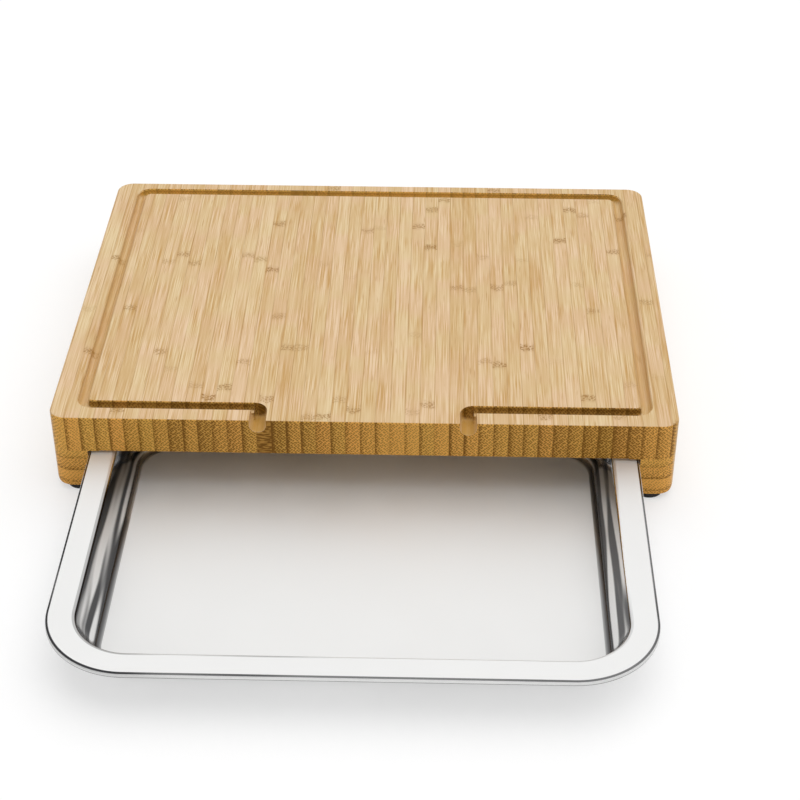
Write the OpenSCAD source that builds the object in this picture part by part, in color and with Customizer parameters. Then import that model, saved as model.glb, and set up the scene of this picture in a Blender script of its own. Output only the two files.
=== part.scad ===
// Bamboo chopping board on two side rails, with a pressed steel tray that
// slides on ledges in the rails and catches what is swept off the board.
// Millimetres, +Z up. The object stands on z = 0 and its front is at -Y. The
// origin is the middle of the footprint with the tray drawn out at rest_draw.

/* [Board] */
// Width of the board, side to side
board_w = 390; // [330:5:480]
// Depth of the board, front to back
board_d = 300; // [250:5:380]
// Thickness of the board
board_t = 25; // [20:1:35]
// Plan radius of the board's upright corner edges
board_corner_r = 11; // [6:1:18]
// Rounding of the edge around the top
board_ease = 1.2; // [0.6:0.2:3]
// Rounding of the lower front and back edges, between the rails
under_ease = 0.8; // [0.4:0.2:2]

/* [Juice groove] */
// Width of the groove between its eased edges
groove_w = 6.4; // [5:0.2:8]
// Depth of the groove
groove_depth = 4.6; // [4:0.2:7]
// Bevel that eases both top edges of the groove
groove_ease = 0.8; // [0.4:0.1:1.4]
// Radius of the wood inside the groove's corners
groove_inner_r = 3; // [1:0.5:8]
// Wood left outside the groove along each side
side_lip = 15; // [12:1:25]
// Wood left outside the groove along the front
front_lip = 11.5; // [9:0.5:20]
// Wood left outside the groove along the back
back_lip = 8.5; // [7:0.5:20]

/* [Drain notches] */
// Width of each drain notch in the front edge
notch_w = 10.6; // [9:0.2:14]
// Depth of each drain notch
notch_depth = 8.6; // [7.4:0.2:11]
// Middle of each drain notch, from its side of the board
notch_inset = 130; // [80:5:150]
// Radius of the wood inside the groove's turn into the notch
notch_inner_r = 0.8; // [0.4:0.2:3]

/* [Rails] */
// Width of each rail
rail_w = 30; // [24:1:40]
// Rounding of the rail's lower outer edge
rail_round = 4; // [2:0.5:7]
// How far the tray slot is cut into the top of the rail
slot_in = 7.3; // [5:0.1:11]

/* [Tray] */
// Depth of the tray inside, from the top of its flange to its floor
tray_depth = 25; // [15:1:40]
// Thickness of the steel sheet
sheet_t = 0.8; // [0.6:0.1:1.2]
// Outer radius of the tray's corners
tray_corner_r = 50; // [44:1:60]
// Width of the flat flange, with its turned-down edge
flange_w = 15; // [13:0.5:20]
// Height of the flange's turned-down edge
lip_h = 3; // [2.4:0.1:4]
// Outer radius of the bend into the turned-down edge
lip_bend_r = 1.4; // [1.3:0.1:2]
// Slope of the tray's walls, from upright
wall_draft = 20; // [8:1:30]
// Radius of the bend from flange to wall
brow_bend_r = 2.5; // [1.6:0.1:5]
// Inside radius of the bend from wall to floor
floor_bend_r = 4; // [2:0.5:8]

/* [Tray fit] */
// Gap between the flange's edge and the slot, each side
slot_side_gap = 0.8; // [0.4:0.1:1.5]
// Gap between the turned-down edge and the ledge it runs on
ledge_gap = 0.2; // [0.1:0.05:0.4]
// Gap between the flange and the board above it
flange_gap = 1.7; // [0.8:0.1:4]
// Gap between the pushed-in tray and the ends of the slots
stop_gap = 0.6; // [0.3:0.1:2]
// How far the pushed-in tray stands behind the board's front
tray_recess = 5; // [0:1:20]
// From the pushed-in tray's back edge to the board's back
tray_back_gap = 33; // [10:1:80]
// Room between the tray's underside and the table
table_gap = 3.5; // [2:0.5:15]
// How far the tray is drawn out
rest_draw = 200; // [10:5:235]

/* [Feet] */
// Diameter of each rubber foot
foot_d = 18; // [14:1:22]
// Height of each foot
foot_h = 4; // [3.5:0.1:7]
// Rounding of the foot's lower edge
foot_round = 1; // [0.5:0.1:2.5]
// Gap from the front or back of the rail to the foot's edge
foot_inset = 0.5; // [0.5:0.5:30]

/* [Screws] */
// Diameter of the screw's shank
screw_d = 3.2; // [2.5:0.1:4]
// Length of shank that is driven into the rail
screw_bite = 13; // [8:1:18]
// Diameter of the screw's head
head_d = 6.4; // [5.5:0.1:7.5]
// Height of the screw's head
head_h = 1.8; // [1.4:0.1:2]
// Gap around the screw's head in the foot's recess
head_gap = 1; // [0.5:0.1:1.5]
// Room between the screw's head and the table
head_sink = 0.8; // [0.4:0.1:1]
// Width of the cross slot in the screw's head
cross_w = 0.9; // [0.6:0.1:1.2]
// Length of the cross slot's arms, tip to tip
cross_l = 3.8; // [3:0.1:4.4]
// Depth of the cross slot
cross_depth = 0.9; // [0.5:0.1:1.1]

/* [Hidden] */
$fn = 96;
// Overrun that carries a cutter clear of the face it cuts
over = 1;

// Widths and lengths
groove_top_w = groove_w + 2 * groove_ease;
groove_bend_r = groove_inner_r + groove_top_w / 2;
notch_bend_r = notch_inner_r + groove_top_w / 2;
tray_w = board_w - 2 * rail_w + 2 * slot_in - 2 * slot_side_gap;
tray_d = board_d - tray_recess - tray_back_gap;
slot_w = tray_w + 2 * slot_side_gap;

// Heights above the table, built up from the tray
flange_z = table_gap + sheet_t + tray_depth;
ledge_z = flange_z - lip_h - ledge_gap;
board_z = flange_z + flange_gap;
top_z = board_z + board_t;
rail_h = board_z - foot_h;

// Places along Y: the whole object is centred on the origin
tray_overhang = max(0, rest_draw - tray_recess);
board_y = tray_overhang / 2;
front_y = board_y - board_d / 2;
back_y = board_y + board_d / 2;
tray_in_y = front_y + tray_recess + tray_d / 2;
tray_y = tray_in_y - rest_draw;

// The groove's middle line
groove_x = board_w / 2 - side_lip - groove_top_w / 2;
groove_front_y = front_y + front_lip + groove_top_w / 2;
groove_back_y = back_y - back_lip - groove_top_w / 2;

// The drain notch on the +X side, and the middle of the bend by which the
// groove's outer edge runs into the notch's outer wall
notch_x = board_w / 2 - notch_inset;
notch_turn_x = notch_x + notch_bend_r + groove_top_w / 2 - notch_w / 2;
notch_turn_y = groove_front_y - notch_bend_r;

// The tray's section: where its bends begin, from the corner's middle
wall_drop = tray_depth - (brow_bend_r + floor_bend_r) * (1 - sin(wall_draft));
brow_x = tray_corner_r - flange_w;
wall_top_x = brow_x - brow_bend_r * cos(wall_draft);
wall_foot_x = wall_top_x - wall_drop * tan(wall_draft);
floor_x = wall_foot_x - floor_bend_r * cos(wall_draft);

// The feet, and the height at which their screws' heads seat
foot_x = board_w / 2 - rail_w / 2;
foot_ys = [front_y + foot_inset + foot_d / 2, back_y - foot_inset - foot_d / 2];
seat_z = head_sink + head_h;

// ---- Shared shapes ----

// Both halves of something that is alike left and right
module both_sides() {
    children();
    mirror([1, 0, 0]) children();
}

// Flat rounded rectangle around the origin
module round_rect(w, d, r) {
    square([w - 2 * r, d], center = true);
    square([w, d - 2 * r], center = true);
    for (x = [-1, 1], y = [-1, 1])
        translate([x * (w / 2 - r), y * (d / 2 - r)]) circle(r);
}

// A flat section carried around a rounded rectangle. The section's x is
// measured outwards from the middle of the corner, and its y is up.
module around_rect(w, d, r) {
    for (side = [0 : 3]) {
        run = side % 2 == 0 ? d - 2 * r : w - 2 * r;
        reach = side % 2 == 0 ? w / 2 - r : d / 2 - r;
        rotate([0, 0, 90 * side]) translate([reach, run / 2, 0])
            rotate([90, 0, 0]) linear_extrude(run) children();
        rotate([0, 0, 90 * side]) translate([reach, run / 2, 0])
            rotate_extrude(angle = 90) children();
    }
}

// Pie slice from angle a0 to a1, at most a quarter turn, that holds radius r
module slice(r, a0, a1) {
    mid = (a0 + a1) / 2;
    polygon([[0, 0], 2 * r * [cos(a0), sin(a0)], 2 * r * [cos(mid), sin(mid)],
             2 * r * [cos(a1), sin(a1)]]);
}

// Bent sheet: a ring from radius r - sheet_t to r between two angles
module sheet_bend(r, a0, a1) {
    intersection() {
        difference() {
            circle(r);
            circle(r - sheet_t);
        }
        slice(r, a0, a1);
    }
}

// ---- Board ----

// Section through the board's rim, with the eased top edge outside
module board_edge() {
    square([board_corner_r, board_t - board_ease]);
    square([board_corner_r - board_ease, board_t]);
    translate([board_corner_r - board_ease, board_t - board_ease]) circle(board_ease);
}

module slab() {
    around_rect(board_w, board_d, board_corner_r) board_edge();
    translate([-board_w / 2 + board_corner_r, -board_d / 2 + board_corner_r, 0])
        cube([board_w - 2 * board_corner_r, board_d - 2 * board_corner_r, board_t]);
}

// Section of the groove: round below, bevelled where it meets the top face
module groove_section() {
    r = groove_w / 2;
    translate([0, r - groove_depth]) circle(r);
    translate([-r, r - groove_depth]) square([groove_w, groove_depth - r + over]);
    polygon([[-r, -groove_ease], [r, -groove_ease], [r + groove_ease, 0], [-r - groove_ease, 0]]);
    translate([-r - groove_ease, 0]) square([groove_top_w, over]);
}

// Straight groove along +X from the origin
module groove_run(length) {
    rotate([90, 0, 90]) linear_extrude(length) groove_section();
}

// Quarter turn of groove, its middle at the origin, starting on the +X axis
module groove_bend(r) {
    rotate_extrude(angle = 90) translate([r, 0]) groove_section();
}

// Section of the drain notch: round below, upright above
module notch_section() {
    r = notch_w / 2;
    translate([0, r - notch_depth]) circle(r);
    translate([-r, r - notch_depth]) square([notch_w, notch_depth - r + over]);
}

// The part of a section that lies right of its axis
module right_half() {
    intersection() {
        children();
        translate([0, -board_t]) square([board_w, 2 * board_t]);
    }
}

// Drain notch, with the groove's bend around the origin. It turns with the
// bend's outer wall, runs out along -Y, and has a round end inside the turn.
module drain_notch(length) {
    inset = notch_turn_x - notch_x;
    rotate([0, 0, 90]) rotate_extrude(angle = 90)
        right_half() translate([inset, 0]) notch_section();
    translate([-inset, 0, 0]) rotate([90, 0, 0]) linear_extrude(length) notch_section();
    translate([-inset, 0, 0]) rotate_extrude(angle = 180) right_half() notch_section();
}

// The right half of the groove and its notch, cut down from the top face
module groove_half() {
    r = groove_bend_r;
    translate([0, groove_back_y, 0]) groove_run(groove_x - r);
    translate([groove_x - r, groove_back_y - r, 0]) groove_bend(r);
    translate([groove_x, groove_front_y + r, 0]) rotate([0, 0, 90])
        groove_run(groove_back_y - groove_front_y - 2 * r);
    translate([groove_x - r, groove_front_y + r, 0]) rotate([0, 0, -90]) groove_bend(r);
    translate([notch_turn_x, groove_front_y, 0]) groove_run(groove_x - r - notch_turn_x);
    translate([notch_turn_x, notch_turn_y, 0]) {
        rotate([0, 0, 90]) groove_bend(notch_bend_r);
        drain_notch(notch_turn_y - front_y + over);
    }
}

// Cutter for a rounded lower edge, along X
module under_edge(length) {
    rotate([90, 0, 90]) linear_extrude(length, center = true) difference() {
        translate([-over, -over]) square(under_ease + over);
        translate([under_ease, under_ease]) circle(under_ease);
    }
}

module board() {
    color("burlywood") difference() {
        translate([0, board_y, board_z]) slab();
        translate([0, 0, top_z]) both_sides() groove_half();
        translate([0, front_y, board_z]) under_edge(board_w - 2 * rail_w);
        translate([0, back_y, board_z]) mirror([0, 1, 0]) under_edge(board_w - 2 * rail_w);
    }
}

// ---- Rails ----

// Section of the left rail, its outer lower edge rounded
module rail_section() {
    translate([rail_round, 0]) square([rail_w - rail_round, rail_h]);
    translate([0, rail_round]) square([rail_w, rail_h - rail_round]);
    translate([rail_round, rail_round]) circle(rail_round);
}

// Room for the tray's flange: the outline of the pushed-in tray with its
// gaps, carried on through the front
module tray_slot() {
    r = tray_corner_r + slot_side_gap;
    end_y = tray_in_y + tray_d / 2 + stop_gap;
    length = end_y - front_y + r + over;
    translate([0, end_y - length / 2, ledge_z]) linear_extrude(board_z - ledge_z + over)
        round_rect(slot_w, length, r);
}

module rail(side) {
    difference() {
        intersection() {
            mirror([side > 0 ? 1 : 0, 0, 0]) translate([-board_w / 2, back_y, foot_h])
                rotate([90, 0, 0]) linear_extrude(board_d) rail_section();
            translate([0, board_y, foot_h - over]) linear_extrude(rail_h + 2 * over)
                round_rect(board_w, board_d, board_corner_r);
        }
        tray_slot();
        for (y = foot_ys)
            translate([side * foot_x, y, foot_h - over]) cylinder(h = screw_bite + over, d = screw_d);
    }
}

module left_rail() { color("peru") rail(-1); }

module right_rail() { color("peru") rail(1); }

// ---- Tray ----

// Section of the tray's rim and wall, from its turned-down edge to its
// floor, with the flange's top face at y = 0
module tray_section() {
    lip_x = tray_corner_r - lip_bend_r;
    up = [-cos(wall_draft), sin(wall_draft)];
    wall_top = [brow_x, -brow_bend_r] + brow_bend_r * up;
    wall_foot = [wall_foot_x, wall_top.y - wall_drop];
    translate([tray_corner_r - sheet_t, -lip_h]) square([sheet_t, lip_h - lip_bend_r]);
    translate([lip_x, -lip_bend_r]) sheet_bend(lip_bend_r, 0, 90);
    translate([brow_x, -sheet_t]) square([lip_x - brow_x, sheet_t]);
    translate([brow_x, -brow_bend_r]) sheet_bend(brow_bend_r, 90, 180 - wall_draft);
    polygon([wall_top, wall_foot, wall_foot - sheet_t * up, wall_top - sheet_t * up]);
    translate([floor_x, floor_bend_r - tray_depth])
        sheet_bend(floor_bend_r + sheet_t, -90, -wall_draft);
}

module tray() {
    color("gainsboro") translate([0, tray_y, flange_z]) {
        around_rect(tray_w, tray_d, tray_corner_r) tray_section();
        translate([0, 0, -tray_depth - sheet_t]) linear_extrude(sheet_t)
            round_rect(tray_w - 2 * (tray_corner_r - floor_x),
                       tray_d - 2 * (tray_corner_r - floor_x), floor_x);
    }
}

// ---- Feet ----

// Rubber foot with a rounded lower edge and a recess for its screw
module foot(side, end) {
    r = foot_d / 2;
    color("#222222") translate([side * foot_x, foot_ys[end], 0]) rotate_extrude() difference() {
        union() {
            translate([0, foot_round]) square([r, foot_h - foot_round]);
            square([r - foot_round, foot_h]);
            translate([r - foot_round, foot_round]) circle(foot_round);
        }
        translate([-over, -over]) square([head_d / 2 + head_gap + over, seat_z + over]);
        translate([-over, -over]) square([screw_d / 2 + over, foot_h + 2 * over]);
    }
}

// Round-headed wood screw that holds a foot, its head downwards
module foot_screw() {
    dome_r = (head_d * head_d / 4 + head_h * head_h) / (2 * head_h);
    difference() {
        rotate_extrude() {
            intersection() {
                translate([0, head_sink + dome_r]) circle(dome_r);
                translate([0, head_sink]) square([head_d / 2, head_h]);
            }
            translate([0, head_sink + head_h / 2])
                square([screw_d / 2, foot_h + screw_bite - head_sink - head_h / 2]);
        }
        for (turn = [0, 90])
            translate([0, 0, head_sink]) rotate([0, 0, turn])
                cube([cross_l, cross_w, 2 * cross_depth], center = true);
    }
}

module foot_screws() {
    color("silver") for (side = [-1, 1], y = foot_ys)
        translate([side * foot_x, y, 0]) foot_screw();
}

board();
left_rail();
right_rail();
tray();
foot(-1, 0);  // front_left_foot
foot(1, 0);  // front_right_foot
foot(-1, 1);  // back_left_foot
foot(1, 1);  // back_right_foot
foot_screws();
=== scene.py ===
"""Looks of a bamboo chopping board whose steel tray slides on ledges in its two rails."""

import math

import bmesh
import bpy
from mathutils import Matrix, Vector


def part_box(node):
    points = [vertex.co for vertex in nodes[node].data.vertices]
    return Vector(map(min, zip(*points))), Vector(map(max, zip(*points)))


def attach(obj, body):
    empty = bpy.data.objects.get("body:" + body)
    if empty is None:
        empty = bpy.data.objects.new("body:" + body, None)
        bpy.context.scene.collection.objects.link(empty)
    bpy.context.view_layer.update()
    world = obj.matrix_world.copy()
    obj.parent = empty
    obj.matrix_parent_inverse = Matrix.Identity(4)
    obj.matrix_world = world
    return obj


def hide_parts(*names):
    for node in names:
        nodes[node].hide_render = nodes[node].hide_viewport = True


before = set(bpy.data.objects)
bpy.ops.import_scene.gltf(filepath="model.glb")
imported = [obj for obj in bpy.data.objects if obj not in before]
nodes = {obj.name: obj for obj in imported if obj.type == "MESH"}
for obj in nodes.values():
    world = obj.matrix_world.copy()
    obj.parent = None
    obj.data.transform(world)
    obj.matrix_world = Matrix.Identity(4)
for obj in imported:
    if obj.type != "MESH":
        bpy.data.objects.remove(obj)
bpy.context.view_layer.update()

MM = 0.001
FEET = ("front_left_foot", "front_right_foot", "back_left_foot", "back_right_foot")
board_low, board_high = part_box("board")
MIDDLE_Y = (board_low.y + board_high.y) / 2 / MM
HALF_DEPTH = (board_high.y - board_low.y) / 2 / MM
HALF_WIDTH = (board_high.x - board_low.x) / 2 / MM
TOP_Z = board_high.z / MM

# ---- The pressed sheet of the tray, in mm ----
SHEET = 0.8
TRAY_CORNER_R = 50.0
FLANGE_W = 15.0
LIP_H = 3.0
LIP_BEND_R = 1.4
CUT_EDGE_R = 0.25
# The sheared edge is made this high, which is more than life, so that its dark line, partly its own grey
# and partly painted shade, shows
SHEARED_H = 0.4
WALL_DRAFT = math.radians(20)
BROW_BEND_R = 2.5
FLOOR_BEND_R = 4.0
TRAY_DEPTH = 25.0
FLAT_MARGIN = 0.3
BEND_STEPS = 12
HALF_BEND = BEND_STEPS // 2 + 1
CORNER_STEPS = 40

# ---- The tray's finish: polish, which also sets how much of the painted reflection streaks show, and the painted dark lines, from 0 to 1, lengths in mm ----
FLOOR_BEND_POLISH = 0.55
FLOOR_BEND_PAINTED_REFLECTION = 0.7
BROW_TOP_POLISH = 0.45
LIP_PAINTED_REFLECTION = 0.8
EDGE_POLISH = 0.2
EDGE_GREY_AND_PAINTED_SHADE = 0.9
UNDER_POLISH = 0.3
SATIN_CLOUD_W = 35.0
STREAK_H = 8.5
STREAK_L = 105.0
# Chosen so that both side walls get dark streaks and light ones of painted reflection
STREAK_START = (3.7, 0.4, 2.0)

# ---- The screws under the feet, in mm ----
HEAD_D = 6.4
HEAD_H = 1.8
HEAD_SINK = 0.8
SHANK_D = 3.2
SHANK_TOP = 17.0
TIP_BEVEL = 0.4
CROSS_L = 3.8
CROSS_W = 0.9
CROSS_DEPTH = 0.9
DOME_STEPS = 8
TURN_STEPS = 36
SAME_PLACE = 0.001
SHARP_EDGE = math.radians(35)

# ---- The glued bamboo, in mm ----
STRIP_W = 9.15
BOARD_JOINT_X = -193.9
RAIL_JOINT_Z = 24.9
DENSE_STRIP = 14
# Each strip is cut from a place of its own along a stem this long
STEM_L = 4000.0
# Width, length and detail of the drift of tone, the soft streaks, the fine fibres and the flames
GRAIN = ((14.0, 110.0, 2.0), (2.6, 48.0, 2.0), (0.62, 42.0, 2.0), (1.6, 24.0, 1.0))
PATCH_L = 34.0
# The marks of the stem's joints, and how far they bow at a strip's edges, waver and reach
STEM_JOINT_PITCH = 140.0
MARK_BOW = 2.25
MARK_WAVER = 1.6
MARK_WAVER_W = 3.4
MARK_CORE = 1.6
MARK_REACH = 4.4
SMUDGE_REACH = 7.0
SPECKLE_W = 1.3
# The real bundles lie some 1 mm apart, which is too fine to show in the render, so they are drawn
# as coarse as they need to show
BUNDLE_GAP = (1.3, 1.8)
DASH_L = 5.0
DASH_GAP = 1.1
JOINT_SHADE_W = 2.8
GLUE_REACH = 0.5
GLUE_PATCH_L = 45.0
# The strips are darkest around this one, and again so many further on
DARK_STRIP = 12.0
DARK_EVERY = 24.0
# A cut lies this far inside the board's faces and sides, and in this band below its top
CUT_FROM_FACE = 0.3
CUT_FROM_SIDE = 14.5
CUT_TOP = 0.4
CUT_BOTTOM = 10.6
# The painted shade in a cut's long grain gets stronger between these depths below the board's top
PAINTED_SHADE_FROM = 5.0
PAINTED_SHADE_FULL = 8.0
FIBRE_RELIEF = 0.12

# ---- Rubber and zinc, in mm ----
RUBBER_GRAIN_W = 0.3
RUBBER_BLOOM_W = 5.0
RUBBER_RELIEF = 0.05
ZINC_CLOUD_W = 1.2

# Most of a noise's values lie in these ranges, given as a Map Range node's inputs 1 and 2
MIDDLE = {1: 0.35, 2: 0.65}
MOST = {1: 0.3, 2: 0.7}

# ---- Camera and light ----
CAMERA_AT = (0.046, -0.9515, 0.715)
CAMERA_PITCH = math.radians(35.5)
CAMERA_YAW = math.radians(1.47)
SENSOR = 36.0
FOCAL_PX = 1816
FRAME_PX = 800
SKY_LEVEL = 0.58
SUN_LEVEL = 1.42
SUN_SPREAD = math.radians(80)
SUN_TURN = (math.radians(-15), math.radians(13), 0)
FLOOR_HALF = 15.0
FLOOR_SHADE = 0.93
FLOOR_SEEN = 1.04
FLOOR_LIFT = 0.5
CLIP_END = 4 * FLOOR_HALF
FLAG_R = 2.4
FLAG_LOW = 0.02
FLAG_HIGH = 0.62
FLAG_SIDES = 64


# ---- Small tools ----

def linear(code):
    """Turns an sRGB hex colour into the linear RGBA that a shader reads."""
    channels = [int(code[i:i + 2], 16) / 255 for i in (1, 3, 5)]
    return (*[c / 12.92 if c <= 0.04045 else ((c + 0.055) / 1.055) ** 2.4 for c in channels], 1.0)


def add(tree, kind, links=None, **settings):
    """Adds a node, sets its properties, and fills its inputs with values or other nodes' outputs.
    Inputs go by name or number. A Map Range node's 1 to 4 are from low, from high, to low, to high;
    a Mix node's 0 is its factor, 2 and 3 are its two numbers, and 6 and 7 its two colours."""
    made = tree.nodes.new(kind)
    for name, value in settings.items():
        setattr(made, name, value)
    for key, value in (links or {}).items():
        if isinstance(value, bpy.types.NodeSocket):
            tree.links.new(value, made.inputs[key])
        else:
            made.inputs[key].default_value = value
    return made


def new_material(name):
    """Returns a new material, its node tree and its Principled shader."""
    material = bpy.data.materials.new(name)
    material.use_nodes = True
    tree = material.node_tree
    tree.nodes.clear()
    shader = add(tree, "ShaderNodeBsdfPrincipled")
    add(tree, "ShaderNodeOutputMaterial", {"Surface": shader.outputs["BSDF"]})
    return material, tree, shader


def place_in_mm(tree):
    """The place on the piece, in millimetres."""
    place = add(tree, "ShaderNodeTexCoord").outputs["Object"]
    return add(tree, "ShaderNodeVectorMath", {0: place, "Scale": 1 / MM}, operation="SCALE").outputs[0]


def dress(node, material):
    """Gives a carried-over CAD node its finish."""
    mesh = nodes[node].data
    mesh.materials.clear()
    mesh.materials.append(material)


# ---- Materials ----

def split_grain(tree, mm, across, along, face, strip, u, luck):
    """Long grain of the strips: a drift of tone, soft streaks, fine fibres, a few amber flames, and
    the speckled marks of the stem's joints. Returns its colour and the height of its fibres."""
    tones = []
    for width, length, detail in GRAIN:
        spot = add(tree, "ShaderNodeCombineXYZ", {
            0: add(tree, "ShaderNodeMath", {0: across, 1: width}, operation="DIVIDE").outputs[0],
            1: add(tree, "ShaderNodeMath", {0: along, 1: length}, operation="DIVIDE").outputs[0],
            2: add(tree, "ShaderNodeMath", {0: face, 1: width}, operation="DIVIDE").outputs[0]}).outputs[0]
        tones.append(add(tree, "ShaderNodeTexNoise", {
            "Vector": spot, "Scale": 1.0, "Detail": detail, "Roughness": 0.6}).outputs[0])
    drift, streak, fibre, flame = tones

    tone = add(tree, "ShaderNodeMapRange", {0: drift, **MIDDLE, 3: 0.32, 4: 0.5}).outputs[0]
    for source, span in ((streak, MOST), (luck[1], {})):
        part = add(tree, "ShaderNodeMapRange", {0: source, **span, 3: -0.14, 4: 0.14}).outputs[0]
        tone = add(tree, "ShaderNodeMath", {0: tone, 1: part}, operation="ADD").outputs[0]
    # A strip is smooth in some stretches and shows every fibre in others, and turns yellower or pinker
    length = add(tree, "ShaderNodeMath", {0: along, 1: PATCH_L}, operation="DIVIDE").outputs[0]
    spot = add(tree, "ShaderNodeCombineXYZ", {0: strip, 1: length}).outputs[0]
    patch = add(tree, "ShaderNodeTexNoise", {"Vector": spot, "Scale": 1.0, "Detail": 1.0},
                noise_dimensions="2D").outputs
    fibres = add(tree, "ShaderNodeMapRange", {0: fibre, **MOST, 3: -1.0, 4: 1.0}).outputs[0]
    coarse = add(tree, "ShaderNodeMapRange", {0: patch[0], **MIDDLE, 3: 0.16, 4: 0.7}).outputs[0]
    tone = add(tree, "ShaderNodeMath", {0: fibres, 1: coarse, 2: tone}, operation="MULTIPLY_ADD").outputs[0]
    tone = add(tree, "ShaderNodeClamp", {0: tone}).outputs[0]
    hue = add(tree, "ShaderNodeSeparateColor", {0: patch["Color"]}).outputs[1]
    hue = add(tree, "ShaderNodeMapRange", {0: hue, **MIDDLE}).outputs[0]
    pale = add(tree, "ShaderNodeMix", {0: hue, 6: linear("#E7C8A3"), 7: linear("#E4CB9E")},
               data_type="RGBA").outputs[2]
    colour = add(tree, "ShaderNodeMix", {0: tone, 6: pale, 7: linear("#C29552")},
                 data_type="RGBA").outputs[2]
    flames = add(tree, "ShaderNodeMapRange", {0: flame, 1: 0.64, 2: 0.8, 3: 0.0, 4: 0.6},
                 interpolation_type="SMOOTHSTEP").outputs[0]
    colour = add(tree, "ShaderNodeMix", {0: flames, 6: colour, 7: linear("#B3813D")},
                 data_type="RGBA").outputs[2]

    # One joint of the stem in each stretch of strip, at a place of its own
    pitch = add(tree, "ShaderNodeMath", {0: along, 1: STEM_JOINT_PITCH}, operation="DIVIDE").outputs[0]
    cell = add(tree, "ShaderNodeMath", {0: pitch}, operation="FLOOR").outputs[0]
    v = add(tree, "ShaderNodeMath", {0: pitch}, operation="FRACT").outputs[0]
    cell = add(tree, "ShaderNodeCombineXYZ", {0: strip, 1: cell}).outputs[0]
    chance = add(tree, "ShaderNodeTexWhiteNoise", {"Vector": cell}, noise_dimensions="2D")
    own = add(tree, "ShaderNodeSeparateColor", {0: chance.outputs["Color"]}).outputs
    centre = add(tree, "ShaderNodeMapRange", {0: own[0], 3: 0.15, 4: 0.85}).outputs[0]
    away = add(tree, "ShaderNodeMath", {0: v, 1: centre}, operation="SUBTRACT").outputs[0]
    away = add(tree, "ShaderNodeMath", {0: away, 1: STEM_JOINT_PITCH}, operation="MULTIPLY").outputs[0]
    # The mark bows up or down as the square of u - 0.5, which is a quarter at the strip's edges, and
    # wavers as it crosses the strip
    bow = add(tree, "ShaderNodeMath", {0: u, 1: 0.5}, operation="SUBTRACT").outputs[0]
    bow = add(tree, "ShaderNodeMath", {0: bow, 1: bow}, operation="MULTIPLY").outputs[0]
    lean = add(tree, "ShaderNodeMapRange", {0: own[2], 3: -4 * MARK_BOW, 4: 4 * MARK_BOW}).outputs[0]
    away = add(tree, "ShaderNodeMath", {0: bow, 1: lean, 2: away}, operation="MULTIPLY_ADD").outputs[0]
    waver = add(tree, "ShaderNodeTexNoise", {
        "Vector": mm, "Scale": 1 / MARK_WAVER_W, "Detail": 1.0}).outputs[0]
    waver = add(tree, "ShaderNodeMapRange", {
        0: waver, 1: 0.25, 2: 0.75, 3: -MARK_WAVER, 4: MARK_WAVER}).outputs[0]
    away = add(tree, "ShaderNodeMath", {0: away, 1: waver}, operation="ADD").outputs[0]
    away = add(tree, "ShaderNodeMath", {0: away}, operation="ABSOLUTE").outputs[0]
    speckle = add(tree, "ShaderNodeTexNoise", {
        "Vector": mm, "Scale": 1 / SPECKLE_W, "Detail": 1.0}).outputs[0]
    speckle = add(tree, "ShaderNodeMapRange", {0: speckle, 1: 0.46, 2: 0.56},
                  interpolation_type="SMOOTHSTEP").outputs[0]
    line = add(tree, "ShaderNodeMapRange", {0: away, 1: MARK_CORE, 2: MARK_REACH, 3: 1.0, 4: 0.0},
               interpolation_type="SMOOTHSTEP").outputs[0]
    line = add(tree, "ShaderNodeMath", {0: line, 1: speckle}, operation="MULTIPLY").outputs[0]
    smudge = add(tree, "ShaderNodeMapRange", {0: away, 1: 0.0, 2: SMUDGE_REACH, 3: 0.55, 4: 0.0},
                 interpolation_type="SMOOTHSTEP").outputs[0]
    smudge = add(tree, "ShaderNodeMath", {0: smudge, 1: streak}, operation="MULTIPLY").outputs[0]
    strength = add(tree, "ShaderNodeMapRange", {0: own[1], 1: 0.15, 2: 0.9, 3: 0.0, 4: 0.95}).outputs[0]
    mark = add(tree, "ShaderNodeMath", {0: line, 1: smudge}, operation="MAXIMUM").outputs[0]
    mark = add(tree, "ShaderNodeMath", {0: mark, 1: strength}, operation="MULTIPLY").outputs[0]
    colour = add(tree, "ShaderNodeMix", {0: mark, 6: colour, 7: linear("#9A6C26")},
                 data_type="RGBA").outputs[2]
    return colour, fibre


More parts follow.
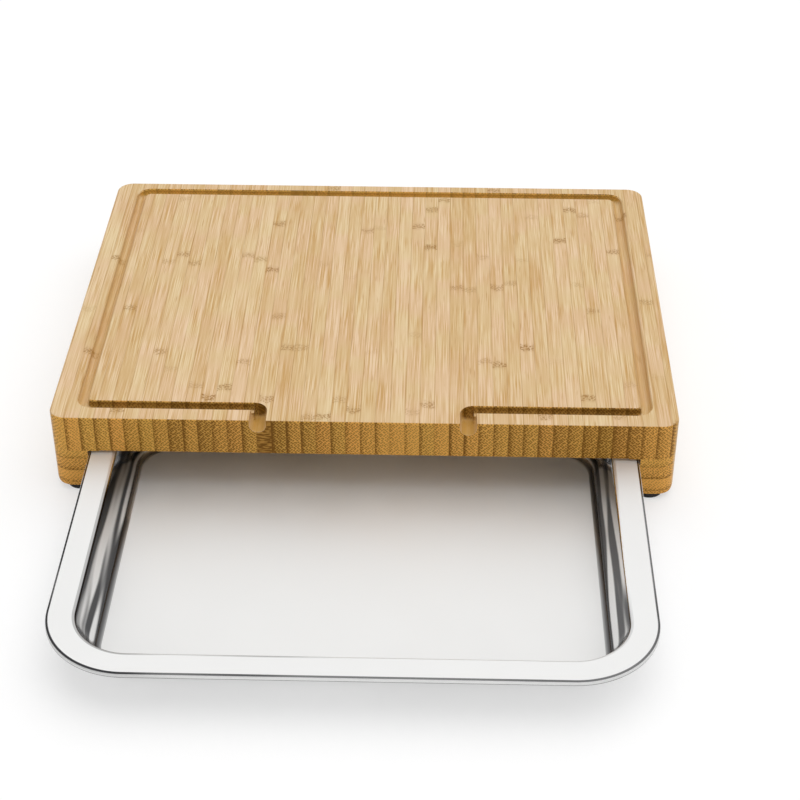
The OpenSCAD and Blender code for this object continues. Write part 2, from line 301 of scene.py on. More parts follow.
def cut_grain(tree, across, face, strip, u, luck, dense):
    """End grain of the strips: amber, dense and dark at the stem's skin and paler inwards, with the
    cut fibre bundles in slanting rows. Returns its colour and the height of its bundles."""
    # The rows lean one way or the other, strip by strip
    lean = add(tree, "ShaderNodeMath", {0: luck[1], 1: 0.5}, operation="GREATER_THAN").outputs[0]
    rows = []
    for side, gaps in ((1.0, BUNDLE_GAP), (-1.0, BUNDLE_GAP[::-1])):
        gap = add(tree, "ShaderNodeMapRange", {0: lean, 3: gaps[0], 4: gaps[1]}).outputs[0]
        slant = add(tree, "ShaderNodeMath", {0: face, 1: side, 2: across},
                    operation="MULTIPLY_ADD").outputs[0]
        slant = add(tree, "ShaderNodeMath", {0: slant, 1: math.sqrt(0.5)}, operation="MULTIPLY").outputs[0]
        slant = add(tree, "ShaderNodeMath", {0: slant, 1: gap}, operation="DIVIDE").outputs[0]
        rows.append(slant)
    spot = add(tree, "ShaderNodeCombineXYZ", {0: rows[0], 1: rows[1]}).outputs[0]
    bundles = add(tree, "ShaderNodeTexVoronoi", {"Vector": spot, "Scale": 1.0, "Randomness": 0.4},
                  voronoi_dimensions="2D").outputs["Distance"]
    bundles = add(tree, "ShaderNodeMapRange", {0: bundles, 1: 0.15, 2: 0.6, 3: 1.0, 4: 0.0}).outputs[0]

    # Each strip is dark where its skin side meets the next strip, and fades from there
    narrow = add(tree, "ShaderNodeMapRange", {0: u, 1: 0.0, 2: JOINT_SHADE_W / STRIP_W, 3: 1.0, 4: 0.0},
                 interpolation_type="SMOOTHSTEP").outputs[0]
    depth = add(tree, "ShaderNodeMapRange", {0: luck[1], 3: 0.1, 4: 0.75}).outputs[0]
    broad = add(tree, "ShaderNodeMapRange", {0: u, 3: 0.22, 4: 0.0}).outputs[0]
    tone = add(tree, "ShaderNodeMath", {0: narrow, 1: depth, 2: broad}, operation="MULTIPLY_ADD").outputs[0]
    own_tone = add(tree, "ShaderNodeMapRange", {0: luck[2], 3: 0.0, 4: 0.3}).outputs[0]
    drift = add(tree, "ShaderNodeMath", {
        0: strip, 1: math.tau / DARK_EVERY, 2: -DARK_STRIP * math.tau / DARK_EVERY},
        operation="MULTIPLY_ADD").outputs[0]
    drift = add(tree, "ShaderNodeMath", {0: drift}, operation="COSINE").outputs[0]
    drift = add(tree, "ShaderNodeMapRange", {0: drift, 1: -1.0, 2: 1.0, 3: -0.08, 4: 0.36}).outputs[0]
    own_tone = add(tree, "ShaderNodeMath", {0: own_tone, 1: drift}, operation="ADD").outputs[0]
    tone = add(tree, "ShaderNodeMath", {0: tone, 1: own_tone}, operation="ADD").outputs[0]
    dots = add(tree, "ShaderNodeMapRange", {0: bundles, 3: -0.42, 4: 0.48}).outputs[0]
    tone = add(tree, "ShaderNodeMath", {0: dots, 1: tone}, operation="ADD").outputs[0]
    if dense is not None:
        # One strip from the stem's outermost wall, cut so that its bundles lie flat
        row = add(tree, "ShaderNodeMath", {0: face, 1: DASH_GAP}, operation="DIVIDE").outputs[0]
        length = add(tree, "ShaderNodeMath", {0: across, 1: DASH_L}, operation="DIVIDE").outputs[0]
        flat = add(tree, "ShaderNodeCombineXYZ", {0: length, 1: row}).outputs[0]
        dashes = add(tree, "ShaderNodeTexNoise", {"Vector": flat, "Scale": 1.0, "Detail": 1.0},
                     noise_dimensions="2D").outputs[0]
        dashes = add(tree, "ShaderNodeMapRange", {0: dashes, 1: 0.42, 2: 0.62, 3: 1.0, 4: 0.55},
                     interpolation_type="SMOOTHSTEP").outputs[0]
        is_dense = add(tree, "ShaderNodeMath", {0: strip, 1: float(dense), 2: 0.5},
                       operation="COMPARE").outputs[0]
        tone = add(tree, "ShaderNodeMix", {0: is_dense, 2: tone, 3: dashes}).outputs[0]
    tone = add(tree, "ShaderNodeClamp", {0: tone}).outputs[0]
    pale = add(tree, "ShaderNodeMix", {0: luck[0], 6: linear("#EBAC53"), 7: linear("#E4B053")},
               data_type="RGBA").outputs[2]
    colour = add(tree, "ShaderNodeMix", {0: tone, 6: pale, 7: linear("#7A500E")},
                 data_type="RGBA").outputs[2]
    return colour, bundles


def bamboo(name, layered_up, joint, dense=None):
    """Bamboo strips glued side by side, or in layers, sanded and oiled. Long grain shows fine fibres
    and the marks of the stem's joints; end grain is browner and shows the cut fibre bundles. The
    walls of groove and notches have painted shade, darker towards the front."""
    material, tree, shader = new_material(name)
    mm = place_in_mm(tree)
    x, y, z = add(tree, "ShaderNodeSeparateXYZ", {0: mm}).outputs
    across, face = (z, x) if layered_up else (x, z)

    # Which strip, how far across it, its own random numbers, and its own stretch of stem
    strips = add(tree, "ShaderNodeMath", {0: across, 1: -joint}, operation="ADD").outputs[0]
    strips = add(tree, "ShaderNodeMath", {0: strips, 1: STRIP_W}, operation="DIVIDE").outputs[0]
    strip = add(tree, "ShaderNodeMath", {0: strips}, operation="FLOOR").outputs[0]
    u = add(tree, "ShaderNodeMath", {0: strips}, operation="FRACT").outputs[0]
    chance = add(tree, "ShaderNodeTexWhiteNoise", {"W": strip}, noise_dimensions="1D")
    luck = add(tree, "ShaderNodeSeparateColor", {0: chance.outputs["Color"]}).outputs
    along = add(tree, "ShaderNodeMath", {0: luck[0], 1: STEM_L, 2: y}, operation="MULTIPLY_ADD").outputs[0]

    long_grain, fibre = split_grain(tree, mm, across, along, face, strip, u, luck)
    end_grain, bundles = cut_grain(tree, across, face, strip, u, luck, dense)

    # Each glue line has a strength of its own on end grain, and comes and goes along long grain
    edge = add(tree, "ShaderNodeMath", {0: u, 1: 0.5}, operation="SUBTRACT").outputs[0]
    edge = add(tree, "ShaderNodeMath", {0: edge}, operation="ABSOLUTE").outputs[0]
    glue = add(tree, "ShaderNodeMapRange", {
        0: edge, 1: 0.5 - GLUE_REACH / STRIP_W, 2: 0.5, 3: 0.0, 4: 1.0}).outputs[0]
    shown = add(tree, "ShaderNodeMapRange", {0: luck[1], 3: 0.15, 4: 0.6}).outputs[0]
    end_glue = add(tree, "ShaderNodeMath", {0: glue, 1: shown}, operation="MULTIPLY").outputs[0]
    end_grain = add(tree, "ShaderNodeMix", {0: end_glue, 6: end_grain, 7: linear("#7A4E0E")},
                    data_type="RGBA").outputs[2]
    length = add(tree, "ShaderNodeMath", {0: along, 1: GLUE_PATCH_L}, operation="DIVIDE").outputs[0]
    spot = add(tree, "ShaderNodeCombineXYZ", {0: strip, 1: length}).outputs[0]
    shown = add(tree, "ShaderNodeTexNoise", {"Vector": spot, "Scale": 1.0, "Detail": 1.0},
                noise_dimensions="2D").outputs[0]
    shown = add(tree, "ShaderNodeMapRange", {0: shown, **MIDDLE, 3: 0.15, 4: 0.95}).outputs[0]
    long_glue = add(tree, "ShaderNodeMath", {0: glue, 1: shown}, operation="MULTIPLY").outputs[0]
    long_grain = add(tree, "ShaderNodeMix", {0: long_glue, 6: long_grain, 7: linear("#A97A36")},
                     data_type="RGBA").outputs[2]

    # The cut shows on faces that look to the front or back
    normal = add(tree, "ShaderNodeTexCoord").outputs["Normal"]
    facing = add(tree, "ShaderNodeSeparateXYZ", {0: normal}).outputs[1]
    facing = add(tree, "ShaderNodeMath", {0: facing}, operation="ABSOLUTE").outputs[0]
    end = add(tree, "ShaderNodeMapRange", {0: facing, 1: 0.3, 2: 0.65},
              interpolation_type="SMOOTHSTEP").outputs[0]
    # Painted shade: the walls of groove and notches are darker, most of all near the front
    painted_shade_in_cuts = 1.0
    for place, middle, reach in ((x, 0.0, HALF_WIDTH - CUT_FROM_SIDE),
                                 (y, MIDDLE_Y, HALF_DEPTH - CUT_FROM_FACE),
                                 (z, TOP_Z - (CUT_TOP + CUT_BOTTOM) / 2, (CUT_BOTTOM - CUT_TOP) / 2)):
        inside = add(tree, "ShaderNodeMath", {0: place, 1: middle, 2: reach},
                     operation="COMPARE").outputs[0]
        painted_shade_in_cuts = add(tree, "ShaderNodeMath", {0: inside, 1: painted_shade_in_cuts}, operation="MULTIPLY").outputs[0]
    near = add(tree, "ShaderNodeMapRange", {
        0: y, 1: MIDDLE_Y - HALF_DEPTH, 2: MIDDLE_Y + HALF_DEPTH, 3: 1.0, 4: 0.0}).outputs[0]
    painted_shade_colour = add(tree, "ShaderNodeMix", {0: near, 6: linear("#C8A050"), 7: linear("#5E4008")},
               data_type="RGBA").outputs[2]
    end_painted_shade = add(tree, "ShaderNodeMath", {0: painted_shade_in_cuts, 1: 0.6}, operation="MULTIPLY").outputs[0]
    end_grain = add(tree, "ShaderNodeMix", {0: end_painted_shade, 6: end_grain, 7: painted_shade_colour},
                    data_type="RGBA").outputs[2]
    # Painted shade in the long grain of the cuts, darker and more amber further below the top
    deep = add(tree, "ShaderNodeMapRange", {
        0: z, 1: TOP_Z - PAINTED_SHADE_FROM, 2: TOP_Z - PAINTED_SHADE_FULL, 3: 0.28, 4: 0.85}).outputs[0]
    long_painted_shade = add(tree, "ShaderNodeMath", {0: painted_shade_in_cuts, 1: deep}, operation="MULTIPLY").outputs[0]
    long_grain = add(tree, "ShaderNodeMix", {0: long_painted_shade, 6: long_grain, 7: linear("#BE9038")},
                     data_type="RGBA").outputs[2]
    colour = add(tree, "ShaderNodeMix", {0: end, 6: long_grain, 7: end_grain},
                 data_type="RGBA").outputs[2]
    tree.links.new(colour, shader.inputs["Base Color"])

    # The dark fibres stand up a little, and the oil is a little glossier between them
    gloss = add(tree, "ShaderNodeMapRange", {0: fibre, **MOST, 3: 0.42, 4: 0.56}).outputs[0]
    tree.links.new(gloss, shader.inputs["Roughness"])
    # The open ends of the fibres drink the oil, so end grain is nearly matt
    shine = add(tree, "ShaderNodeMapRange", {0: end, 3: 0.5, 4: 0.15}).outputs[0]
    tree.links.new(shine, shader.inputs["Specular IOR Level"])
    relief = add(tree, "ShaderNodeMix", {0: end, 2: fibre, 3: bundles}).outputs[0]
    bump = add(tree, "ShaderNodeBump", {"Strength": 0.25, "Distance": FIBRE_RELIEF * MM, "Height": relief})
    tree.links.new(bump.outputs[0], shader.inputs["Normal"])
    shader.inputs["IOR"].default_value = 1.5
    return material


def stainless_sheet():
    """Stainless steel, pressed deep. Flange and floor keep the sheet's satin, which spreads what it
    mirrors to an even pale grey; the walls and bends are polished, and their colour carries long soft
    streaks of painted reflection, dark and light."""
    material, tree, shader = new_material("satin_and_polished_stainless_steel")
    polish_and_painted_reflection = add(tree, "ShaderNodeAttribute", attribute_name="polish_and_painted_reflection").outputs["Fac"]
    mm = place_in_mm(tree)
    cloud = add(tree, "ShaderNodeTexNoise", {
        "Vector": mm, "Scale": 1 / SATIN_CLOUD_W, "Detail": 2.0}).outputs[0]
    along = add(tree, "ShaderNodeVectorMath", {
        0: mm, 1: (1 / STREAK_L, 1 / STREAK_L, 1 / STREAK_H), 2: STREAK_START},
        operation="MULTIPLY_ADD").outputs[0]
    streak = add(tree, "ShaderNodeTexNoise", {"Vector": along, "Scale": 1.0, "Detail": 1.0}).outputs[0]
    streak = add(tree, "ShaderNodeMapRange", {0: streak, 1: 0.45, 2: 0.6},
                 interpolation_type="SMOOTHSTEP").outputs[0]
    satin = add(tree, "ShaderNodeMapRange", {0: cloud, **MOST, 3: 0.54, 4: 0.6}).outputs[0]
    mirror = add(tree, "ShaderNodeMapRange", {0: streak, 3: 0.2, 4: 0.11}).outputs[0]
    gloss = add(tree, "ShaderNodeMix", {0: polish_and_painted_reflection, 2: satin, 3: mirror}).outputs[0]
    tree.links.new(gloss, shader.inputs["Roughness"])
    # Painted reflection: where the sheet is polished, its colour streaks dark and light along the walls
    painted_reflection_streaks = add(tree, "ShaderNodeMix", {0: streak, 6: linear("#3A3A3D"), 7: linear("#F0F0F0")},
                data_type="RGBA").outputs[2]
    tone = add(tree, "ShaderNodeMix", {0: polish_and_painted_reflection, 6: linear("#F2F2F1"), 7: painted_reflection_streaks},
               data_type="RGBA").outputs[2]
    # The tight bends get dark lines of painted reflection, and the sheared edge a dark line that is
    # partly its own grey and partly painted shade; those at the lip are a little wider here than in
    # life, because they are too fine to show
    line = add(tree, "ShaderNodeAttribute", attribute_name="painted_lines_and_raw_edge").outputs["Fac"]
    tone = add(tree, "ShaderNodeMix", {0: line, 6: tone, 7: linear("#3E3E40")},
               data_type="RGBA").outputs[2]
    tree.links.new(tone, shader.inputs["Base Color"])
    # The satin's fine scratches scatter part of the light, so it stays pale beside dark things
    metal = add(tree, "ShaderNodeMapRange", {0: polish_and_painted_reflection, 3: 0.5, 4: 1.0}).outputs[0]
    tree.links.new(metal, shader.inputs["Metallic"])
    return material


def moulded_rubber():
    """Black moulded rubber: matt, with the fine grain of the mould."""
    material, tree, shader = new_material("moulded_black_rubber")
    mm = place_in_mm(tree)
    grain, bloom = [add(tree, "ShaderNodeTexNoise", {
        "Vector": mm, "Scale": 1 / width, "Detail": 2.0}).outputs[0]
        for width in (RUBBER_GRAIN_W, RUBBER_BLOOM_W)]
    tone = add(tree, "ShaderNodeMix", {0: bloom, 6: linear("#18181A"), 7: linear("#242426")},
               data_type="RGBA").outputs[2]
    tree.links.new(tone, shader.inputs["Base Color"])
    tree.links.new(add(tree, "ShaderNodeMapRange", {0: grain, 3: 0.6, 4: 0.85}).outputs[0],
                   shader.inputs["Roughness"])
    bump = add(tree, "ShaderNodeBump", {"Strength": 0.3, "Distance": RUBBER_RELIEF * MM, "Height": grain})
    tree.links.new(bump.outputs[0], shader.inputs["Normal"])
    return material


def zinc_plate():
    """Bright zinc plate on a steel screw: faintly blue, a little clouded."""
    material, tree, shader = new_material("zinc_plated_steel")
    mm = place_in_mm(tree)
    cloud = add(tree, "ShaderNodeTexNoise", {
        "Vector": mm, "Scale": 1 / ZINC_CLOUD_W, "Detail": 3.0}).outputs[0]
    tone = add(tree, "ShaderNodeMix", {0: cloud, 6: linear("#AEB4BC"), 7: linear("#C9CCD0")},
               data_type="RGBA").outputs[2]
    tree.links.new(tone, shader.inputs["Base Color"])
    tree.links.new(add(tree, "ShaderNodeMapRange", {0: cloud, 3: 0.24, 4: 0.42}).outputs[0],
                   shader.inputs["Roughness"])
    shader.inputs["Metallic"].default_value = 1.0
    return material


# ---- The tray ----

def arc(centre, radius, start, stop):
    """Points along an arc, angles in degrees, both ends included."""
    turn = [math.radians(start + (stop - start) * i / BEND_STEPS) for i in range(BEND_STEPS + 1)]
    return [(centre[0] + radius * math.cos(a), centre[1] + radius * math.sin(a)) for a in turn]


def sheet_section():
    """The sheet's section, from the floor up over its top skin and back along its under skin, as
    (out, up, polish and painted reflection, painted dark line). Out is measured from the tray's
    outer edge, and up from the flange's top face."""
    draft = math.degrees(WALL_DRAFT)
    brow = (-FLANGE_W, -BROW_BEND_R)
    drop = TRAY_DEPTH - (BROW_BEND_R + FLOOR_BEND_R) * (1 - math.sin(WALL_DRAFT))
    reach = (BROW_BEND_R + FLOOR_BEND_R) * math.cos(WALL_DRAFT) + drop * math.tan(WALL_DRAFT)
    foot = (brow[0] - reach, FLOOR_BEND_R - TRAY_DEPTH)
    lip = (-LIP_BEND_R, -LIP_BEND_R)
    cut_top = -LIP_H + CUT_EDGE_R
    points = [(foot[0] - FLAT_MARGIN, -TRAY_DEPTH, 0.0, 0.0)]
    # The tight bend at the floor gets a dark line of painted reflection, as of the wall it would mirror,
    # most of all in its middle
    for i, p in enumerate(arc(foot, FLOOR_BEND_R, -90, -draft)):
        part = i / BEND_STEPS
        points.append((*p, FLOOR_BEND_POLISH + (1 - FLOOR_BEND_POLISH) * part,
                       FLOOR_BEND_PAINTED_REFLECTION * math.sin(math.pi * part)))
    bend = arc(brow, BROW_BEND_R, 180 - draft, 90)
    points += [(*p, 1.0, 0.0) for p in bend[:HALF_BEND]]
    points += [(*p, BROW_TOP_POLISH, 0.0) for p in bend[HALF_BEND:]]
    points += [(brow[0] + FLAT_MARGIN, 0.0, 0.0, 0.0), (lip[0] - FLAT_MARGIN, 0.0, 0.0, 0.0)]
    bend = arc(lip, LIP_BEND_R, 90, 0)
    # The lip's bend gets a dark line of painted reflection over its first half
    points += [(*p, 1.0, LIP_PAINTED_REFLECTION) for p in bend[:HALF_BEND]]
    points += [(*p, EDGE_POLISH, 0.0) for p in bend[HALF_BEND:]]
    points += [(0.0, cut_top + SHEARED_H, EDGE_POLISH, 0.0)]
    # The sheared edge gets a dark line, partly its own grey and partly painted shade under the lip
    points += [(*p, EDGE_POLISH, EDGE_GREY_AND_PAINTED_SHADE) for p in (
        (0.0, cut_top + SHEARED_H / 2), (0.0, cut_top), (-CUT_EDGE_R, -LIP_H),
        (-SHEET + CUT_EDGE_R, -LIP_H), (-SHEET, cut_top))]
    points += [(*p, UNDER_POLISH, 0.0) for p in arc(lip, LIP_BEND_R - SHEET, 0, 90)]
    points += [(*p, UNDER_POLISH, 0.0) for p in arc(brow, BROW_BEND_R - SHEET, 90, 180 - draft)]
    points += [(*p, UNDER_POLISH, 0.0) for p in arc(foot, FLOOR_BEND_R + SHEET, -draft, -90)]
    points += [(foot[0] - FLAT_MARGIN, -TRAY_DEPTH - SHEET, 0.0, 0.0)]
    return points


def sweep_tree(material):
    """Geometry nodes that carry the object's own section round a rounded rectangle."""
    tree = bpy.data.node_groups.new("section_round_a_tray", "GeometryNodeTree")
    face = tree.interface
    face.new_socket("Section", in_out="INPUT", socket_type="NodeSocketGeometry")
    for name in ("Width", "Depth", "Corner Radius"):
        face.new_socket(name, in_out="INPUT", socket_type="NodeSocketFloat")
    face.new_socket("Corner Steps", in_out="INPUT", socket_type="NodeSocketInt")
    face.new_socket("Sheet", in_out="OUTPUT", socket_type="NodeSocketGeometry")
    given = add(tree, "NodeGroupInput").outputs
    section = add(tree, "GeometryNodeMeshToCurve", {0: given["Section"]}).outputs[0]
    outline = add(tree, "GeometryNodeCurvePrimitiveQuadrilateral",
                  {"Width": given["Width"], "Height": given["Depth"]}).outputs[0]
    outline = add(tree, "GeometryNodeFilletCurve", {
        "Curve": outline, "Count": given["Corner Steps"], "Radius": given["Corner Radius"]},
        mode="POLY").outputs[0]
    outline = add(tree, "GeometryNodeSetCurveNormal", {"Curve": outline}, mode="Z_UP").outputs[0]
    sheet = add(tree, "GeometryNodeCurveToMesh", {"Curve": outline, "Profile Curve": section}).outputs[0]
    sheet = add(tree, "GeometryNodeSetShadeSmooth", {"Geometry": sheet}).outputs[0]
    sheet = add(tree, "GeometryNodeRealizeInstances", {"Geometry": sheet}).outputs[0]
    sheet = add(tree, "GeometryNodeSetMaterial", {"Geometry": sheet, "Material": material}).outputs[0]
    add(tree, "NodeGroupOutput", {0: sheet})
    return tree


def plain_mesh(piece, tree, values):
    """Runs a geometry tree on a piece with these inputs, and keeps the result as its plain mesh."""
    modifier = piece.modifiers.new("shape", "NODES")
    modifier.node_group = tree
    for socket in tree.interface.items_tree:
        if socket.in_out == "INPUT" and socket.name in values:
            modifier[socket.identifier] = values[socket.name]
    evaluated = piece.evaluated_get(bpy.context.evaluated_depsgraph_get())
    mesh = bpy.data.meshes.new_from_object(evaluated)
    piece.modifiers.remove(modifier)
    piece.data = mesh
    return mesh


def build_tray(material):
    """Sweeps the tray's sheet, closes its floor, and puts it in the place of the CAD tray."""
    low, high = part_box("tray")
    section = sheet_section()
    wire = bpy.data.meshes.new("tray_section")
    # A swept section's second axis points down
    wire.from_pydata([(point[0] * MM, -point[1] * MM, 0) for point in section],
                     [(i, i + 1) for i in range(len(section) - 1)], [])
    for column, name in ((2, "polish_and_painted_reflection"), (3, "painted_lines_and_raw_edge")):
        finish = wire.attributes.new(name, "FLOAT", "POINT")
        finish.data.foreach_set("value", [point[column] for point in section])
    tray = bpy.data.objects.new("tray_sheet", wire)
    bpy.context.scene.collection.objects.link(tray)
    mesh = plain_mesh(tray, sweep_tree(material), {
        "Width": high.x - low.x, "Depth": high.y - low.y,
        "Corner Radius": TRAY_CORNER_R * MM, "Corner Steps": CORNER_STEPS})
    form = bmesh.new()
    form.from_mesh(mesh)
    rims = [edge for edge in form.edges if edge.is_boundary]
    bmesh.ops.holes_fill(form, edges=rims, sides=0)
    bmesh.ops.recalc_face_normals(form, faces=form.faces)
    bmesh.ops.translate(form, verts=form.verts, vec=((low.x + high.x) / 2, (low.y + high.y) / 2, high.z))
    for skin in form.faces:
        skin.smooth = True
    form.to_mesh(mesh)
    form.free()
    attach(tray, "tray")
    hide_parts("tray")


# ---- The foot screws ----

def turned_screw():
    """One screw on the origin's axis, head down, turned from its section, with its dome's low point
    at HEAD_SINK and a small bevel at its tip."""
    dome_r = (HEAD_D ** 2 / 4 + HEAD_H ** 2) / (2 * HEAD_H)
    reach = math.asin(HEAD_D / 2 / dome_r)
    turns = [reach * i / DOME_STEPS for i in range(DOME_STEPS + 1)]
    section = [(dome_r * math.sin(a), HEAD_SINK + dome_r * (1 - math.cos(a))) for a in turns]
    section += [(SHANK_D / 2, HEAD_SINK + HEAD_H), (SHANK_D / 2, SHANK_TOP - TIP_BEVEL),
                (SHANK_D / 2 - TIP_BEVEL, SHANK_TOP), (0.0, SHANK_TOP)]
    form = bmesh.new()
    verts = [form.verts.new((radius * MM, 0, height * MM)) for radius, height in section]
    edges = [form.edges.new(pair) for pair in zip(verts, verts[1:])]
    bmesh.ops.spin(form, geom=verts + edges, cent=(0, 0, 0), axis=(0, 0, 1), angle=math.tau,
                   steps=TURN_STEPS, use_duplicate=False)
    bmesh.ops.remove_doubles(form, verts=form.verts, dist=SAME_PLACE * MM)
    bmesh.ops.recalc_face_normals(form, faces=form.faces)
    mesh = bpy.data.meshes.new("turned_screw")
    form.to_mesh(mesh)
    form.free()
    return mesh


def screw_tree(material):
    """Geometry nodes that cut the cross slot into the object's screw, and set one at each corner of
    a rectangle."""
    tree = bpy.data.node_groups.new("cross_slotted_screws", "GeometryNodeTree")
    face = tree.interface
    face.new_socket("Screw", in_out="INPUT", socket_type="NodeSocketGeometry")
    for name in ("Spacing Across", "Spacing Along", "Slot Length", "Slot Width", "Slot Depth",
                 "Head Low Point"):
        face.new_socket(name, in_out="INPUT", socket_type="NodeSocketFloat")
    face.new_socket("Screws", in_out="OUTPUT", socket_type="NodeSocketGeometry")
    given = add(tree, "NodeGroupInput").outputs
    # Each arm of the cross has its middle at the head's low point, so half of its height cuts
    height = add(tree, "ShaderNodeMath", {0: given["Slot Depth"], 1: 2.0}, operation="MULTIPLY").outputs[0]
    at = add(tree, "ShaderNodeCombineXYZ", {2: given["Head Low Point"]}).outputs[0]
    arms = []
    for long, wide in (("Slot Length", "Slot Width"), ("Slot Width", "Slot Length")):
        size = add(tree, "ShaderNodeCombineXYZ", {0: given[long], 1: given[wide], 2: height}).outputs[0]
        arm = add(tree, "GeometryNodeMeshCube", {"Size": size}).outputs[0]
        arms.append(add(tree, "GeometryNodeTransform", {"Geometry": arm, "Translation": at}).outputs[0])
    screw = given["Screw"]
    for arm in arms:
        screw = add(tree, "GeometryNodeMeshBoolean", {"Mesh 1": screw, "Mesh 2": arm},
                    operation="DIFFERENCE", solver="EXACT").outputs[0]
    screw = add(tree, "GeometryNodeSetShadeSmooth", {"Geometry": screw}).outputs[0]
    bend = add(tree, "GeometryNodeInputMeshEdgeAngle").outputs["Unsigned Angle"]
    sharp = add(tree, "FunctionNodeCompare", {0: bend, 1: SHARP_EDGE},
                operation="GREATER_THAN").outputs[0]
    screw = add(tree, "GeometryNodeSetShadeSmooth", {
        "Geometry": screw, "Selection": sharp, "Shade Smooth": False}, domain="EDGE").outputs[0]
    corners = add(tree, "GeometryNodeMeshGrid", {
        "Size X": given["Spacing Across"], "Size Y": given["Spacing Along"],
        "Vertices X": 2, "Vertices Y": 2}).outputs[0]
    screws = add(tree, "GeometryNodeInstanceOnPoints", {"Points": corners, "Instance": screw}).outputs[0]
    screws = add(tree, "GeometryNodeRealizeInstances", {"Geometry": screws}).outputs[0]
    screws = add(tree, "GeometryNodeSetMaterial", {"Geometry": screws, "Material": material}).outputs[0]
    add(tree, "NodeGroupOutput", {0: screws})
    return tree


def build_foot_screws(material):
    """Sets one screw in the middle of each foot, in the place of the CAD screws."""
    middles = [sum(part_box(foot), Vector()) / 2 for foot in FEET]
    low = Vector(min(m[i] for m in middles) for i in range(3))
    high = Vector(max(m[i] for m in middles) for i in range(3))
    screws = bpy.data.objects.new("foot_screws_turned", turned_screw())
    bpy.context.scene.collection.objects.link(screws)
    mesh = plain_mesh(screws, screw_tree(material), {
        "Spacing Across": high.x - low.x, "Spacing Along": high.y - low.y, "Slot Length": CROSS_L * MM,
        "Slot Width": CROSS_W * MM, "Slot Depth": CROSS_DEPTH * MM, "Head Low Point": HEAD_SINK * MM})
    mesh.transform(Matrix.Translation(((low.x + high.x) / 2, (low.y + high.y) / 2, 0)))
    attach(screws, "board")
    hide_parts("foot_screws")


# ---- Studio ----

def floor_and_sky():
    """A matt white floor that keeps the object's shadow, under an even white sky."""
    mesh = bpy.data.meshes.new("floor")
    mesh.from_pydata([(-FLOOR_HALF, -FLOOR_HALF, 0), (FLOOR_HALF, -FLOOR_HALF, 0),
                      (FLOOR_HALF, FLOOR_HALF, 0), (-FLOOR_HALF, FLOOR_HALF, 0)], [], [(0, 1, 2, 3)])
    floor = bpy.data.objects.new("floor", mesh)
    bpy.context.scene.collection.objects.link(floor)
    material, tree, shader = new_material("matt_white_studio_floor")
    ray = add(tree, "ShaderNodeLightPath").outputs["Is Camera Ray"]
    # To the camera the floor is partly white of its own, which keeps the shadow and lightens it
    white = add(tree, "ShaderNodeMapRange", {
        0: ray, 3: FLOOR_SHADE, 4: FLOOR_SEEN * (1 - FLOOR_LIFT)}).outputs[0]
    lift = add(tree, "ShaderNodeMapRange", {0: ray, 3: 0.0, 4: FLOOR_LIFT}).outputs[0]
    tree.links.new(lift, shader.inputs["Emission Strength"])
    shader.inputs["Emission Color"].default_value = (1, 1, 1, 1)
    tree.links.new(add(tree, "ShaderNodeCombineColor", {0: white, 1: white, 2: white}).outputs[0],
                   shader.inputs["Base Color"])
    shader.inputs["Roughness"].default_value = 1.0
    shader.inputs["Specular IOR Level"].default_value = 0.0
    mesh.materials.append(material)

    world = bpy.data.worlds.new("white_studio")
    bpy.context.scene.world = world
    world.use_nodes = True
    tree = world.node_tree
    tree.nodes.clear()
    ray = add(tree, "ShaderNodeLightPath").outputs
    seen = ray["Is Camera Ray"]
    for kind in ("Is Glossy Ray", "Is Transmission Ray"):
        seen = add(tree, "ShaderNodeMath", {0: seen, 1: ray[kind]}, operation="MAXIMUM").outputs[0]
    level = add(tree, "ShaderNodeMapRange", {0: seen, 3: SKY_LEVEL, 4: 1.0}).outputs[0]
    sky = add(tree, "ShaderNodeBackground", {"Color": (1, 1, 1, 1), "Strength": level})
    add(tree, "ShaderNodeOutputWorld", {"Surface": sky.outputs[0]})


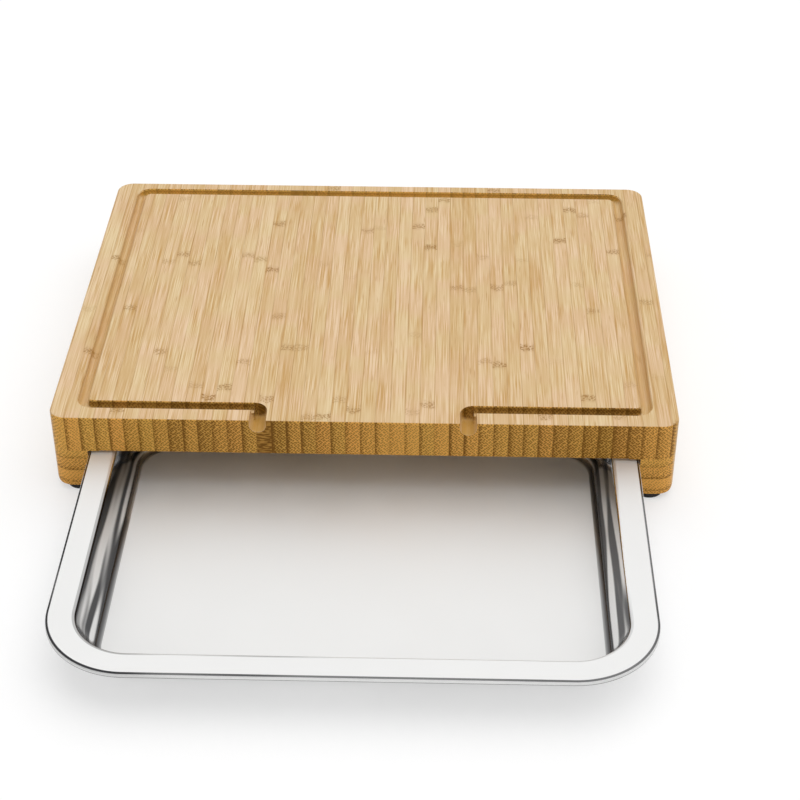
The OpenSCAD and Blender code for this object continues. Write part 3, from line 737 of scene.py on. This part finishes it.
def flags():
    """A low ring of black cards that only gloss can see, and that polished bends mirror."""
    turns = [math.tau * i / FLAG_SIDES for i in range(FLAG_SIDES)]
    ring = [(FLAG_R * math.cos(a), FLAG_R * math.sin(a)) for a in turns]
    sides = [(i, (i + 1) % FLAG_SIDES) for i in range(FLAG_SIDES)]
    mesh = bpy.data.meshes.new("black_flags")
    mesh.from_pydata([(*p, FLAG_LOW) for p in ring] + [(*p, FLAG_HIGH) for p in ring], [],
                     [(b, a, a + FLAG_SIDES, b + FLAG_SIDES) for a, b in sides])
    cards = bpy.data.objects.new("black_flags", mesh)
    bpy.context.scene.collection.objects.link(cards)
    material, _, shader = new_material("black_studio_card")
    shader.inputs["Base Color"].default_value = linear("#101010")
    shader.inputs["Roughness"].default_value = 1.0
    mesh.materials.append(material)
    cards.visible_camera = False
    cards.visible_diffuse = False
    cards.visible_transmission = False
    cards.visible_shadow = False


def lamp():
    """One wide soft lamp from above, a little to the side."""
    light = bpy.data.lights.new("soft_key", "SUN")
    light.energy = SUN_LEVEL
    light.angle = SUN_SPREAD
    key = bpy.data.objects.new("soft_key", light)
    key.rotation_euler = SUN_TURN
    key.visible_glossy = False
    bpy.context.scene.collection.objects.link(key)


def camera():
    """A camera at the photograph's viewing angle."""
    lens = bpy.data.cameras.new("camera")
    lens.sensor_width = SENSOR
    lens.lens = FOCAL_PX / FRAME_PX * SENSOR
    lens.clip_end = CLIP_END
    eye = bpy.data.objects.new("camera", lens)
    eye.location = CAMERA_AT
    eye.rotation_euler = (math.pi / 2 - CAMERA_PITCH, 0, CAMERA_YAW)
    bpy.context.scene.collection.objects.link(eye)
    bpy.context.scene.camera = eye


camera()
floor_and_sky()
flags()
lamp()
bpy.context.scene.view_settings.view_transform = "Standard"

board_bamboo = bamboo("oiled_bamboo_strips", False, BOARD_JOINT_X, DENSE_STRIP)
rail_bamboo = bamboo("oiled_bamboo_layers", True, RAIL_JOINT_Z)
dress("board", board_bamboo)
for side in ("left_rail", "right_rail"):
    dress(side, rail_bamboo)
rubber = moulded_rubber()
for foot in FEET:
    dress(foot, rubber)
build_foot_screws(zinc_plate())
build_tray(stainless_sheet())
